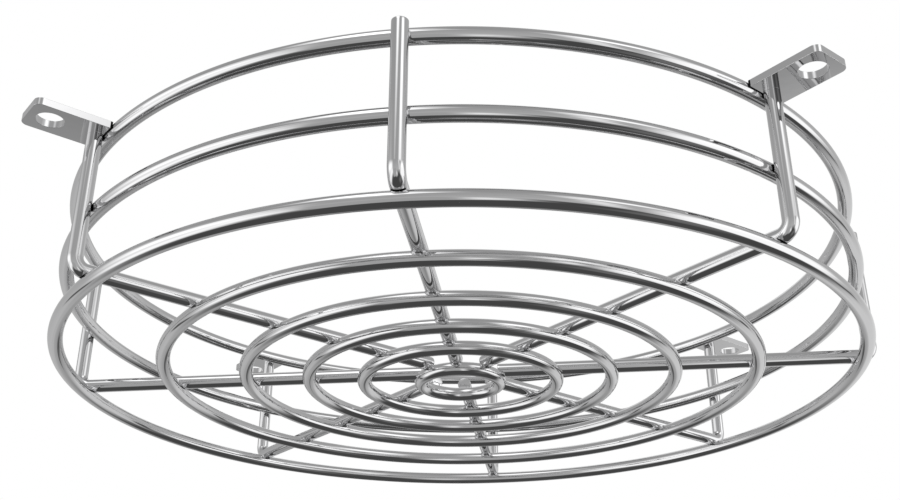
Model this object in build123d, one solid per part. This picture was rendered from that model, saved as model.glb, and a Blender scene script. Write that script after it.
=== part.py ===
from build123d import *
import os

# Light fixture guard: a shallow round cage of welded wire with four flat screw tabs.
# All sizes are in millimetres.
# The origin is the centre of the mounting plane, +Z points at the ceiling and -Y is the front.

# Stock that the guard is made from
wire_diameter = 6.35
tab_width = 19.05
tab_thickness = 3.175

# Overall form, measured to the centreline of the wire unless a note says otherwise
guard_depth = 70.8  # from the mounting plane down to the lowest wire surface
top_ring_proud = 0.7  # how far the top ring stands above the mounting plane
outer_ring_radius = 184.0  # of the outer grid ring and both side rings
second_grid_ring_radius = 138.1
third_grid_ring_radius = 100.9
fourth_grid_ring_radius = 71.6
fifth_grid_ring_radius = 45.8
centre_ring_radius = 18.6

# Rods
rod_count = 8
rod_bend_radius = 5.2  # of the centreline
rod_end_overrun = 0.7  # how far the flat inner ends run past the centre ring's centreline
grid_set_down = 1.38  # how far a rod and a grid ring sink into each other at a weld
side_set_down = 0.25  # how far a rod and a side ring sink into each other at a weld

# Tabs
tab_length = 30.9
tab_corner_radius = 3.2
tab_hole_diameter = 11.1
tab_hole_edge_distance = 9.0  # from the hole's centre to the tab's outer end
tab_set_down = 0.45  # how far the tab's inner end sinks into the top ring

# Worked out from the sizes above
wire_radius = wire_diameter / 2
grid_z = -guard_depth + wire_radius
top_ring_z = top_ring_proud - wire_radius
middle_ring_z = (grid_z + top_ring_z) / 2
radial_z = grid_z + wire_diameter - grid_set_down
leg_radius = outer_ring_radius + wire_diameter - side_set_down
rod_inner_end_radius = centre_ring_radius - rod_end_overrun
rod_step = 360 / rod_count
tab_inner_radius = outer_ring_radius + wire_radius - tab_set_down
tab_outer_radius = tab_inner_radius + tab_length
tab_hole_radius_position = tab_outer_radius - tab_hole_edge_distance
tab_underside_z = -tab_thickness

# Each ring's name, with its centreline radius and height
ring_places = {
    "outer_grid_ring": (outer_ring_radius, grid_z),
    "second_grid_ring": (second_grid_ring_radius, grid_z),
    "third_grid_ring": (third_grid_ring_radius, grid_z),
    "fourth_grid_ring": (fourth_grid_ring_radius, grid_z),
    "fifth_grid_ring": (fifth_grid_ring_radius, grid_z),
    "centre_ring": (centre_ring_radius, grid_z),
    "middle_side_ring": (outer_ring_radius, middle_ring_z),
    "top_ring": (outer_ring_radius, top_ring_z),
}

# Rods anticlockwise from the right-hand side, as seen from above
rod_names = [
    "right_rod",
    "back_right_rod",
    "back_rod",
    "back_left_rod",
    "left_rod",
    "front_left_rod",
    "front_rod",
    "front_right_rod",
]


def carries_tab(index):
    """Every second rod, starting with the back right one, ends under a tab."""
    return index % 2 == 1


def wire_ring(radius, height):
    """A closed ring of round wire, lying flat."""
    return Pos(0, 0, height) * Torus(radius, wire_radius)


def whole_rod(top_z):
    """One L-shaped rod on the +X side: along the grid, round the bend and up the side."""
    route = FilletPolyline(
        (rod_inner_end_radius, 0, radial_z),
        (leg_radius, 0, radial_z),
        (leg_radius, 0, top_z),
        radius=rod_bend_radius,
    )
    section = Plane(origin=route @ 0, z_dir=route % 0) * Circle(wire_radius)
    return sweep(section, path=route)


def whole_tab():
    """A flat tab on the +X side with rounded outer corners and one screw hole."""
    middle = (tab_inner_radius + tab_outer_radius) / 2
    outline = Pos(middle, 0) * Rectangle(tab_length, tab_width)
    outer_corners = outline.vertices().group_by(Axis.X)[-1]
    outline = fillet(outer_corners, tab_corner_radius)
    outline -= Pos(tab_hole_radius_position, 0) * Circle(tab_hole_diameter / 2)
    return Pos(0, 0, tab_underside_z) * extrude(outline, tab_thickness)


def save(name, shape):
    """Write one node as a STEP file."""
    solid = shape.solids()[0]
    solid.label = name
    export_step(solid, f"parts/{name}.step")


os.makedirs("parts", exist_ok=True)

# Rings
ring_solids = {name: wire_ring(*place) for name, place in ring_places.items()}
for name, ring in ring_solids.items():
    save(name, ring)

# Rods, with a shallow saddle where each ring is fused into them
plain_rod = whole_rod(0)
tab_rod = whole_rod(tab_underside_z)
for ring in ring_solids.values():
    plain_rod -= ring
    tab_rod -= ring
for index, name in enumerate(rod_names):
    rod = tab_rod if carries_tab(index) else plain_rod
    save(name, Rot(0, 0, index * rod_step) * rod)

# Tabs, butted on the top ring and standing on the ends of their rods
tab = whole_tab() - ring_solids["top_ring"]
for index, name in enumerate(rod_names):
    if carries_tab(index):
        save(name.replace("_rod", "_tab"), Rot(0, 0, index * rod_step) * tab)

print("hole circle diameter", 2 * tab_hole_radius_position)
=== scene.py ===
import bpy
import numpy as np
from mathutils import Matrix, Vector


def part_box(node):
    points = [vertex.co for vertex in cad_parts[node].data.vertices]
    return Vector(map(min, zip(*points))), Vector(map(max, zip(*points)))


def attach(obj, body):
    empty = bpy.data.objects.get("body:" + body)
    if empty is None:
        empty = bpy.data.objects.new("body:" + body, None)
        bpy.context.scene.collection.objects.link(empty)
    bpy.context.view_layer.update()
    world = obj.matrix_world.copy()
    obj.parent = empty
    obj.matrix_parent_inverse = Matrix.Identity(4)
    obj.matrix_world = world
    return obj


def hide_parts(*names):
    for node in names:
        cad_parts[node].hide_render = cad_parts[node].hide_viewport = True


# Light fixture guard, dressed over the CAD frame.
# The guard's lengths are in millimetres until a surface is put into its mesh.
# The finishes and the studio are in metres.

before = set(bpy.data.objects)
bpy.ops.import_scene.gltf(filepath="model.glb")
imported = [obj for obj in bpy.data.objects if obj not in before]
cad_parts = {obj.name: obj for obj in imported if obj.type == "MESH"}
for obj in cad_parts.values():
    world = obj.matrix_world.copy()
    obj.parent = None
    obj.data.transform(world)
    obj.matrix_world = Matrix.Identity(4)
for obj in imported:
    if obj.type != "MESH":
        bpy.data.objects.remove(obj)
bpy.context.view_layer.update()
print("stage 1: frame loaded")

mm = 0.001

# Shader maths


class Shade:  # a socket that can be used in plain expressions
    def __init__(self, graph, socket):
        self.graph, self.socket = graph, socket

    def maths(self, operation, first, second):
        return self.graph.node("Math", {"operation": operation}, {0: first, 1: second})

    def __add__(self, other):
        return self.maths("ADD", self, other)

    def __radd__(self, other):
        return self.maths("ADD", other, self)

    def __sub__(self, other):
        return self.maths("SUBTRACT", self, other)

    def __rsub__(self, other):
        return self.maths("SUBTRACT", other, self)

    def __mul__(self, other):
        return self.maths("MULTIPLY", self, other)

    def __rmul__(self, other):
        return self.maths("MULTIPLY", other, self)

    def __truediv__(self, other):
        return self.maths("DIVIDE", self, other)

    def __rtruediv__(self, other):
        return self.maths("DIVIDE", other, self)


class Graph:  # a node tree that is built from nothing
    def __init__(self, tree):
        self.tree = tree
        tree.nodes.clear()

    def node(self, kind, settings=None, sockets=None, out=0):
        made = self.tree.nodes.new("ShaderNode" + kind)
        for name, value in (settings or {}).items():
            setattr(made, name, value)
        for name, value in (sockets or {}).items():
            if isinstance(value, Shade):
                self.tree.links.new(value.socket, made.inputs[name])
            else:
                made.inputs[name].default_value = value
        return Shade(self, made.outputs[out]) if len(made.outputs) else made

    def falling(self, value, near, far, shape="LINEAR"):
        # 1 up to near, 0 from far, and a ramp between them
        ends = {"Value": value, "From Min": near, "From Max": far, "To Min": 1.0, "To Max": 0.0}
        return self.node("MapRange", {"interpolation_type": shape}, ends)


# Surfaces

sharpAngle = 35.0  # degrees, past which an edge isn't shaded smooth


def faceGrid(rows, columns, wrapRows, wrapColumns):
    # four neighbours of each cell of the grid, as vertex numbers
    i = np.arange(rows if wrapRows else rows - 1)[:, None]
    j = np.arange(columns if wrapColumns else columns - 1)[None, :]
    iNext, jNext = (i + 1) % rows, (j + 1) % columns
    corners = [i * columns + j, iNext * columns + j, iNext * columns + jNext, i * columns + jNext]
    return np.stack([c + 0 * (i + j) for c in corners], -1).reshape(-1, 4)


def addPiece(name, grid, wrapRows, material, node):
    # grid: points[rows, columns, 3] with the columns once round the section; open row ends get a flat cap
    # wireCircle keeps each point's turn round the section as a cosine and a sine
    rows, columns = grid.shape[:2]
    turn = np.linspace(0, 2 * np.pi, columns, endpoint=False)[None, :] + np.zeros((rows, 1))
    circle = np.stack([np.cos(turn), np.sin(turn), 0 * turn], -1).reshape(-1)
    faces = faceGrid(rows, columns, wrapRows, True).tolist()
    if not wrapRows:
        firstRow = np.arange(columns)
        faces.append(firstRow.tolist())
        faces.append((firstRow[::-1] + (rows - 1) * columns).tolist())
    mesh = bpy.data.meshes.new(name)
    mesh.from_pydata((grid.reshape(-1, 3) * mm).tolist(), [], faces)
    mesh.polygons.foreach_set("use_smooth", np.ones(len(mesh.polygons), dtype=bool))
    mesh.set_sharp_from_angle(angle=np.radians(sharpAngle))
    attribute = mesh.attributes.new("wireCircle", "FLOAT_VECTOR", "POINT")
    attribute.data.foreach_set("vector", circle.astype(np.float32))
    mesh.materials.append(material)
    mesh.update()
    piece = bpy.data.objects.new(name, mesh)
    bpy.context.scene.collection.objects.link(piece)
    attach(piece, "root")
    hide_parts(node)


def turnedGrid(grid, degrees):
    # the same grid turned about the vertical axis
    c, s = np.cos(np.radians(degrees)), np.sin(np.radians(degrees))
    x, y, z = grid[..., 0], grid[..., 1], grid[..., 2]
    return np.stack([c * x - s * y, s * x + c * y, z], -1)


def camelName(node):
    # top_ring becomes topRing
    first, *rest = node.split("_")
    return first + "".join(word.capitalize() for word in rest)


# Rings

wire = {
    "radius": 3.175,
    "facesAround": 48,
}

rings = {
    "stepLength": 1.6,  # along the ring
    "fewestSteps": 96,
    "stepsShared": 8,  # the steps are a multiple of this, one share for each rod
    "nodes": [
        "outer_grid_ring",
        "second_grid_ring",
        "third_grid_ring",
        "fourth_grid_ring",
        "fifth_grid_ring",
        "centre_ring",
        "middle_side_ring",
        "top_ring",
    ],
}


def ringPlace(node):
    # radius and height of the centreline: the CAD box reaches one wire radius beyond it on each side
    low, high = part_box(node)
    return high.x / mm - wire["radius"], (low.z + high.z) / 2 / mm


def ringSurface(radius, height):
    # a circle of the wire's radius carried round a circle of the ring's radius
    share = int(2 * np.pi * radius / rings["stepLength"]) // rings["stepsShared"]
    steps = max(rings["fewestSteps"], share * rings["stepsShared"])
    u = np.linspace(0, 2 * np.pi, steps, endpoint=False)[:, None]
    v = np.linspace(0, 2 * np.pi, wire["facesAround"], endpoint=False)[None, :]
    out = radius + wire["radius"] * np.cos(v)
    return np.stack([out * np.cos(u), out * np.sin(u), height + wire["radius"] * np.sin(v) + 0 * u], -1)


outerRadius, gridHeight = ringPlace("outer_grid_ring")
centreRadius = ringPlace("centre_ring")[0]
middleHeight, topHeight = (ringPlace(node)[1] for node in ("middle_side_ring", "top_ring"))

# Rods

rods = {
    "endOverrun": 0.7,  # of the flat inner ends past the centre ring's centreline
    "gridSetDown": 1.38,  # how far a rod sinks into the grid rings
    "sideSetDown": 0.25,  # how far a rod sinks into the side rings
    "bendRadius": 5.2,
    "plainTop": 0.0,
    "intoTab": 0.575,  # how far a tab rod's end is hidden in its tab
    "endRound": 0.25,
    "endStretch": 1.0,  # from an end to the first row of the plain wire
    "endSteps": 5,
    "bendSteps": 20,
    "nodes": [  # anticlockwise from the right, seen from above; every second one carries a tab
        "right_rod",
        "back_right_rod",
        "back_rod",
        "back_left_rod",
        "left_rod",
        "front_left_rod",
        "front_rod",
        "front_right_rod",
    ],
}

rodStep = 360 / len(rods["nodes"])
runHeight = gridHeight + 2 * wire["radius"] - rods["gridSetDown"]
legRadius = outerRadius + 2 * wire["radius"] - rods["sideSetDown"]
rodInnerEnd = centreRadius - rods["endOverrun"]


def rodSurface(top):
    # a circle carried along the run, the quarter bend and the leg; both ends are slightly rounded
    r, leg, low, inner = rods["bendRadius"], legRadius, runHeight, rodInnerEnd
    turn = np.linspace(0, np.pi / 2, rods["bendSteps"] + 1)
    bend = np.stack([leg - r + r * np.sin(turn), low + r - r * np.cos(turn)], -1)
    # the end rows are repeated with a shrinking radius for the rounded edge
    edge = np.linspace(0, np.pi / 2, rods["endSteps"])
    back = rods["endRound"] * (1 - np.sin(edge))  # distance from the end
    shrink = rods["endRound"] * (1 - np.cos(edge))
    startPath = np.stack([inner + back[::-1], 0 * back + low], -1)
    endPath = np.stack([0 * back + leg, top - back], -1)
    innerPoint = np.array([[inner + rods["endStretch"], low]])
    topPoint = np.array([[leg, top - rods["endStretch"]]])
    path = np.concatenate([startPath, innerPoint, bend, topPoint, endPath])
    heading = np.concatenate([0 * edge, [0], turn, [np.pi / 2], 0 * edge + np.pi / 2])
    middleRows = np.zeros(len(turn) + 2)
    radius = wire["radius"] - np.concatenate([shrink[::-1], middleRows, shrink])
    v = np.linspace(0, 2 * np.pi, wire["facesAround"], endpoint=False)[None, :]
    inPlane = radius[:, None] * np.cos(v)
    x = path[:, :1] - np.sin(heading)[:, None] * inPlane
    z = path[:, 1:] + np.cos(heading)[:, None] * inPlane
    y = radius[:, None] * np.sin(v)
    return np.stack([x, y, z], -1)


# Tabs

tabs = {
    "length": 30.9,
    "width": 19.05,
    "thickness": 3.175,
    "cornerRadius": 3.2,
    "holeRadius": 5.55,
    "holeFromEnd": 9.0,
    "setDown": 0.45,  # how far the inner end sinks into the top ring
    "edgeRound": 0.1,
    "edgeMargin": 0.05,  # of the flat face beside the rounded edge
    "edgeSteps": 4,
    "angleSteps": 288,
}

tabInnerEnd = outerRadius + wire["radius"] - tabs["setDown"]
tabOuterEnd = tabInnerEnd + tabs["length"]
holeAt = tabOuterEnd - tabs["holeFromEnd"]


def tabOutline(angle, inset):
    # distance from the hole's centre to the plate's edge, brought in by inset: the nearer of the end
    # over the cosine and the side over the sine, or the corner's circle where that cuts in
    c, s = np.cos(angle), np.abs(np.sin(angle))
    far, near = tabOuterEnd - holeAt - inset, holeAt - tabInnerEnd - inset
    side, corner = tabs["width"] / 2 - inset, tabs["cornerRadius"] - inset
    tiny = 1e-9  # keeps the divisions clear of zero
    alongX = np.where(c > 0, far / np.maximum(c, tiny), near / np.maximum(-c, tiny))
    reach = np.minimum(alongX, side / np.maximum(s, tiny))
    px, py = far - corner, side - corner  # centre of the corner's arc
    along, square = px * c + py * s, px * px + py * py - corner * corner
    arc = along + np.sqrt(np.maximum(along * along - square, 0))
    inCorner = (reach * c > px) & (reach * s > py)
    return np.where(inCorner, arc, reach)


def tabSurface():
    # a closed profile (top face, edge, underside, hole wall) carried round the hole's centre,
    # clockwise so that the faces point outwards
    even = np.linspace(-np.pi, np.pi, tabs["angleSteps"], endpoint=False)
    cornerAngle = np.arctan2(tabs["width"] / 2, tabInnerEnd - holeAt)
    angle = np.sort(np.concatenate([even, [cornerAngle, -cornerAngle]]))[::-1, None]
    edge, thick = tabs["edgeRound"], tabs["thickness"]
    flat = edge + tabs["edgeMargin"]
    turn = np.linspace(0, np.pi / 2, tabs["edgeSteps"])
    # rounded edge from the face to the wall: distance in from the wall, and distance from the face
    # one more row at each end keeps the flat faces flat up to the edge
    inset = np.concatenate([[flat], edge * (1 - np.sin(turn)), [0.0]])
    fall = np.concatenate([[0.0], edge * (1 - np.cos(turn)), [flat]])
    # rows: wall (1 plate's edge, 0 hole), distance in from that wall, height
    rows = [(1, i, -d) for i, d in zip(inset, fall)]
    rows += [(1, i, d - thick) for i, d in zip(inset[::-1], fall[::-1])]
    rows += [(0, i, d - thick) for i, d in zip(inset, fall)]
    rows += [(0, i, -d) for i, d in zip(inset[::-1], fall[::-1])]
    columns = []
    for atEdge, into, z in rows:
        reach = tabOutline(angle, into) if atEdge else tabs["holeRadius"] + into + 0 * angle
        columns.append(np.stack([holeAt + reach * np.cos(angle), reach * np.sin(angle), z + 0 * angle], -1))
    return np.concatenate(columns, 1)


# Finishes

steelLook = {
    "colour": (0.66, 0.66, 0.665),
    "colourDrift": 0.03,  # share by which the tone wanders along the wire
    "driftSize": 22.0,  # patches per metre
    "driftDetail": 2.0,
    "roughness": 0.03,
    "roughnessDrift": 0.02,
    "hazeSize": 160.0,  # of the roughness, patches per metre
    "hazeDetail": 4.0,
    "rippleSize": 260.0,  # of the surface, patches per metre
    "rippleDetail": 1.5,
    "rippleHeight": 0.000005,
    "lineCount": 3.6,  # die lines left along the wire by drawing, for each wire radius
    "lineDrift": 9.0,  # how fast they come and go along the wire
    "ringLineHeight": 0.00009,
    "rodLineHeight": 0.00002,
    # painted shade for the tight crevices at the joints, near black
    "paintedCreviceShadeColour": (0.008, 0.008, 0.008, 1.0),
    "paintedCreviceShadeRoughness": 0.5,
}

paintedCreviceShade = {  # painted shade: the tight crevice round each joint darkened to near black, in millimetres
    "rodGap": (0.4, 0.6),  # painted shade black up to the first gap between the wires, none from the second
    "outside": 1.2,  # only the crevices this far outside the rings' centreline are tight
    "tabEnd": (0.875, 0.975),  # from the tab's inner end: painted shade black up to the first, none from the second
}


def rodPaintedCreviceShade(graph, place):
    # painted shade on a rod: gap to the nearest of the three large rings, small only in the crevice beside
    # a joint, which is darkened there
    # distance from a ring's centreline: root of (distance from the axis - its radius) squared plus
    # (z - its height) squared
    axes = graph.node("SeparateXYZ", {}, {"Vector": place}).socket.node
    x, y, z = (Shade(graph, axes.outputs[k]) for k in "XYZ")
    out = graph.node("Math", {"operation": "SQRT"}, {0: x * x + y * y})
    fromRing = out - outerRadius * mm
    gap = None
    for height in (gridHeight, middleHeight, topHeight):
        drop = z - height * mm
        length = graph.node("Math", {"operation": "SQRT"}, {0: fromRing * fromRing + drop * drop})
        gap = length if gap is None else graph.node("Math", {"operation": "MINIMUM"}, {0: gap, 1: length})
    near, clear = (wire["radius"] + width for width in paintedCreviceShade["rodGap"])
    dark = graph.falling(gap, near * mm, clear * mm)
    outside = (outerRadius + paintedCreviceShade["outside"]) * mm
    return dark * graph.node("Math", {"operation": "GREATER_THAN"}, {0: out, 1: outside})


def tabPaintedCreviceShade(graph, place):
    # painted shade: near black along the crevice where the tab's inner end meets the top ring
    # distance out along the tab, which lies at 45 degrees: (|x| + |y|) / sqrt 2
    size = graph.node("VectorMath", {"operation": "ABSOLUTE"}, {0: place})
    diagonal = (0.5**0.5, 0.5**0.5, 0.0)
    along = graph.node("VectorMath", {"operation": "DOT_PRODUCT"}, {0: size, 1: diagonal}, out="Value")
    near, clear = (tabInnerEnd + distance for distance in paintedCreviceShade["tabEnd"])
    return graph.falling(along, near * mm, clear * mm)


def patches(graph, place, kind):
    # noise of one kind, by the sizes in steelLook
    size, detail = steelLook[kind + "Size"], steelLook[kind + "Detail"]
    return graph.node("TexNoise", {}, {"Vector": place, "Scale": size, "Detail": detail})


def polishedSteel(name, lineHeight, paintedShade=None):
    # bright steel: drifting tone, haze and ripple, then die lines along the wire, and painted shade that
    # darkens the tight crevices at the joints where it is asked for
    material = bpy.data.materials.new(name)
    material.use_nodes = True
    graph = Graph(material.node_tree)
    look = steelLook
    place = graph.node("TexCoord", out="Object")
    drift, haze, ripple = (patches(graph, place, kind) for kind in ("drift", "haze", "ripple"))
    bright = tuple(min(1.0, c * (1 + look["colourDrift"])) for c in look["colour"]) + (1.0,)
    dull = tuple(c * (1 - look["colourDrift"]) for c in look["colour"]) + (1.0,)
    tone = graph.node("Mix", {"data_type": "RGBA"}, {0: drift, 6: dull, 7: bright}, out=2)
    rough = look["roughness"] + (haze - 0.5) * look["roughnessDrift"]
    # painted shade: the crevices at the joints are mixed towards near black and made rougher
    if paintedShade:
        dark = paintedShade(graph, place)
        tone = graph.node("Mix", {"data_type": "RGBA"}, {0: dark, 6: tone, 7: look["paintedCreviceShadeColour"]}, out=2)
        rough = rough + dark * look["paintedCreviceShadeRoughness"]
    height = ripple * look["rippleHeight"]
    if lineHeight:
        circle = graph.node("Attribute", {"attribute_name": "wireCircle"}, out="Vector")
        across = graph.node("VectorMath", {"operation": "SCALE"}, {0: circle, "Scale": look["lineCount"]})
        slow = graph.node("VectorMath", {"operation": "SCALE"}, {0: place, "Scale": look["lineDrift"]})
        where = graph.node("VectorMath", {"operation": "ADD"}, {0: across, 1: slow})
        lines = graph.node("TexNoise", {}, {"Vector": where, "Scale": 1.0, "Detail": 1.0})
        height = height + lines * lineHeight
    bump = graph.node("Bump", {}, {"Strength": 1.0, "Distance": 1.0, "Height": height})
    finish = {"Base Color": tone, "Metallic": 1.0, "Roughness": rough, "Normal": bump}
    shader = graph.node("BsdfPrincipled", {}, finish)
    graph.node("OutputMaterial", {}, {"Surface": shader})
    return material


ringSteel = polishedSteel("polishedRingSteel", steelLook["ringLineHeight"])
# rods and tab plates get painted shade in the crevices at their joints
rodSteel = polishedSteel("polishedRodSteel", steelLook["rodLineHeight"], rodPaintedCreviceShade)
plateSteel = polishedSteel("polishedPlateSteel", 0, tabPaintedCreviceShade)
print("stage 2: finishes made")

# Pieces

for node in rings["nodes"]:
    grid = ringSurface(*ringPlace(node))
    addPiece(camelName(node) + "Wire", grid, True, ringSteel, node)
print("stage 3: rings made")

for index, node in enumerate(rods["nodes"]):
    top = rods["intoTab"] - tabs["thickness"] if index % 2 else rods["plainTop"]
    grid = turnedGrid(rodSurface(top), rodStep * index)
    addPiece(camelName(node) + "Wire", grid, False, rodSteel, node)
print("stage 4: rods made")

for index, node in enumerate(rods["nodes"]):
    if index % 2:
        tabNode = node.replace("_rod", "_tab")
        grid = turnedGrid(tabSurface(), rodStep * index)
        addPiece(camelName(tabNode) + "Plate", grid, True, plateSteel, tabNode)
print("stage 5: tabs made")

# Studio: a pale floor, a white world, and a light tent that only reflections see

studio = {
    "floorHeight": -1.7,
    "floorHalf": 40.0,
    "floorColour": (0.86, 0.86, 0.86, 1.0),
    "skyStrength": 0.9,  # for the light on the object; 1 is the white that the camera sees
    "tentRadius": 20.0,
    "tentFaces": (48, 24),  # round and up
    "clothGrey": 0.58,
    "clothDrift": (0.04, 0.04, -0.16),  # a little brighter to the right and the back, and darker to the top
    "groundGrey": 0.08,
    "groundEdge": (-41.0, -15.0),  # all ground below the first elevation, all cloth above the second
    "groundTilt": (-0.16, -0.05, 1.0),  # the ground's own upright, which leans to the left and the front
    "edgeSoftness": {"crisp": 4.0, "soft": 9.0, "faint": 14.0},  # degrees each side of a panel's edge
    # azimuth from the back towards the right, elevation, half width, half height, turn, edge, strength
    "panels": {
        "leftUpper": (-115, 4, 25, 16, 5, "faint", 1.6),
        "leftLower": (-110, -24, 30, 10, -8, "soft", 1.45),
        "rightUpper": (94, 1, 22, 14, 38, "faint", 2.2),
        "rightLower": (95, -8, 26, 18, -8, "soft", 1.45),
        "highFrontRight": (130, 35, 12, 9, 0, "soft", 1.8),
        "highFrontLeft": (-160, 48, 10, 15, -48, "soft", 2.15),
        "lowBack": (25, -4, 20, 28, 5, "soft", 0.8),
        "lowFront": (170, -39, 10, 10, -22, "soft", 1.2),
        "narrowFrontRight": (140, 5, 4, 20, -15, "crisp", 1.1),
        "highBack": (-15, 49, 11, 16, -10, "crisp", 0.9),
        "lowFrontLeft": (-165, -33, 18, 18, 0, "crisp", 0.5),
        "dimBack": (-9, -5, 16, 20, -14, "faint", 0.4),
        "lowRight": (104, -44, 11, 13, 0, "soft", 0.2),
    },
    # narrow dark boards: azimuth and elevation
    "boards": {"back": (-8, -12), "left": (-63, -20), "right": (53, -17)},
    "boardHalf": (3.5, 8.0),  # half width and half height
    "boardSoftness": 2.0,
    "boardGrey": 0.12,
}


def direction(azimuth, elevation):
    # unit vector: azimuth turns from the back towards the right, elevation rises from the level
    a, e = np.radians(azimuth), np.radians(elevation)
    return np.array([np.sin(a) * np.cos(e), np.cos(a) * np.cos(e), np.sin(e)])


def tentMaterial():
    # grey cloth over a dark ground, then the bright panels and the dark boards laid over it in turn
    material = bpy.data.materials.new("lightTent")
    material.use_nodes = True
    graph = Graph(material.node_tree)
    place = graph.node("TexCoord", out="Object")
    ray = graph.node("VectorMath", {"operation": "NORMALIZE"}, {0: place})

    def dot(axis):
        return graph.node("VectorMath", {"operation": "DOT_PRODUCT"}, {0: ray, 1: tuple(axis)}, out="Value")

    def inside(distance, half, soft):
        near, far = np.tan(np.radians(half - soft)), np.tan(np.radians(half + soft))
        return graph.falling(distance, near, far, "SMOOTHSTEP")

    def withPanel(light, azimuth, elevation, wide, high, turn, soft, strength):
        # a rectangle on a plane that faces the guard: side and rise over distance, each held under
        # the tangent of its half angle
        aim = direction(azimuth, elevation)
        across = np.cross(aim, (0.0, 0.0, 1.0))
        across = across / np.linalg.norm(across)
        up = np.cross(across, aim)
        c, s = np.cos(np.radians(turn)), np.sin(np.radians(turn))
        leastFront = 0.001  # what faces away from the panel is put far outside it
        front = graph.node("Math", {"operation": "MAXIMUM"}, {0: dot(aim), 1: leastFront})
        side = graph.node("Math", {"operation": "ABSOLUTE"}, {0: dot(c * across + s * up) / front})
        rise = graph.node("Math", {"operation": "ABSOLUTE"}, {0: dot(c * up - s * across) / front})
        mask = inside(side, wide, soft) * inside(rise, high, soft)
        return light + mask * (strength - light)

    tilt = np.array(studio["groundTilt"])
    upward = dot(tilt / np.linalg.norm(tilt))
    low, high = (np.sin(np.radians(edge)) for edge in studio["groundEdge"])
    grey = studio["clothGrey"] + dot(studio["clothDrift"])
    light = grey + graph.falling(upward, low, high, "SMOOTHSTEP") * (studio["groundGrey"] - grey)
    for *place, edge, strength in studio["panels"].values():
        light = withPanel(light, *place, studio["edgeSoftness"][edge], strength)
    wide, high = studio["boardHalf"]
    soft, strength = studio["boardSoftness"], studio["boardGrey"]
    for azimuth, elevation in studio["boards"].values():
        light = withPanel(light, azimuth, elevation, wide, high, 0, soft, strength)
    shader = graph.node("Emission", {}, {"Color": (1.0, 1.0, 1.0, 1.0), "Strength": light})
    graph.node("OutputMaterial", {}, {"Surface": shader})
    return material


def floorMaterial():
    material = bpy.data.materials.new("paleFloor")
    material.use_nodes = True
    graph = Graph(material.node_tree)
    shader = graph.node("BsdfDiffuse", {}, {"Color": studio["floorColour"]})
    graph.node("OutputMaterial", {}, {"Surface": shader})
    return material


def stageObject(name, grid, wrapColumns, material):
    rows, columns = grid.shape[:2]
    mesh = bpy.data.meshes.new(name)
    faces = faceGrid(rows, columns, False, wrapColumns).tolist()
    mesh.from_pydata(grid.reshape(-1, 3).tolist(), [], faces)
    mesh.materials.append(material)
    mesh.update()
    thing = bpy.data.objects.new(name, mesh)
    bpy.context.scene.collection.objects.link(thing)
    return thing


def floorSurface():
    # x and y each run from one side to the other
    side = np.array([-studio["floorHalf"], studio["floorHalf"]])
    x, y = np.meshgrid(side, side, indexing="ij")
    return np.stack([x, y, 0 * x + studio["floorHeight"]], -1)


def tentSurface():
    # a sphere by elevation and azimuth
    facesRound, facesUp = studio["tentFaces"]
    steepest = np.pi / 2 - 0.001  # just short of the poles
    rise = np.linspace(-steepest, steepest, facesUp + 1)[:, None]
    turn = np.linspace(0, 2 * np.pi, facesRound, endpoint=False)[None, :]
    x, y, z = np.cos(rise) * np.cos(turn), np.cos(rise) * np.sin(turn), np.sin(rise) + 0 * turn
    return studio["tentRadius"] * np.stack([x, y, z], -1)


floor = stageObject("floor", floorSurface(), False, floorMaterial())
floor.visible_glossy = False  # the steel mirrors the tent's own ground
tent = stageObject("lightTent", tentSurface(), True, tentMaterial())
tent.visible_camera = False
tent.visible_diffuse = False
tent.visible_shadow = False
tent.visible_transmission = False

world = bpy.data.worlds.new("studio")
bpy.context.scene.world = world
world.use_nodes = True
worldGraph = Graph(world.node_tree)
cameraRay = worldGraph.node("LightPath", out="Is Camera Ray")
rays = cameraRay.socket.node
seen = cameraRay
for kind in ("Is Glossy Ray", "Is Transmission Ray"):
    ray = Shade(worldGraph, rays.outputs[kind])
    seen = worldGraph.node("Math", {"operation": "MAXIMUM"}, {0: seen, 1: ray})
strength = studio["skyStrength"] + (1 - studio["skyStrength"]) * seen
sky = worldGraph.node("Background", {}, {"Color": (1.0, 1.0, 1.0, 1.0), "Strength": strength})
worldGraph.node("OutputWorld", {}, {"Surface": sky})
print("stage 6: studio made")

# Camera

view = {
    "place": (0.0552, -0.50209, -0.24160),  # metres
    "yaw": 6.844,  # degrees to the left of straight back
    "pitch": 25.757,
    "roll": 0.091,
    "lens": 44.543,  # millimetres, as the sensor
    "sensor": 36.0,
    "clip": (0.01, 100.0),  # metres
}

yaw, pitch, roll = (np.radians(view[k]) for k in ("yaw", "pitch", "roll"))
forward = np.array([-np.sin(yaw) * np.cos(pitch), np.cos(yaw) * np.cos(pitch), np.sin(pitch)])
level = np.array([np.cos(yaw), np.sin(yaw), 0.0])
above = np.cross(level, forward)
rightWay = level * np.cos(roll) + above * np.sin(roll)
upWay = above * np.cos(roll) - level * np.sin(roll)
cameraData = bpy.data.cameras.new("camera")
cameraData.sensor_width = view["sensor"]
cameraData.lens = view["lens"]
cameraData.clip_start, cameraData.clip_end = view["clip"]
camera = bpy.data.objects.new("camera", cameraData)
bpy.context.scene.collection.objects.link(camera)
axes = Matrix(np.stack([rightWay, upWay, -forward], 1).tolist()).to_4x4()
camera.matrix_world = Matrix.Translation(Vector(view["place"])) @ axes
bpy.context.scene.camera = camera
bpy.context.scene.view_settings.view_transform = "Standard"
print("stage 7: camera set")
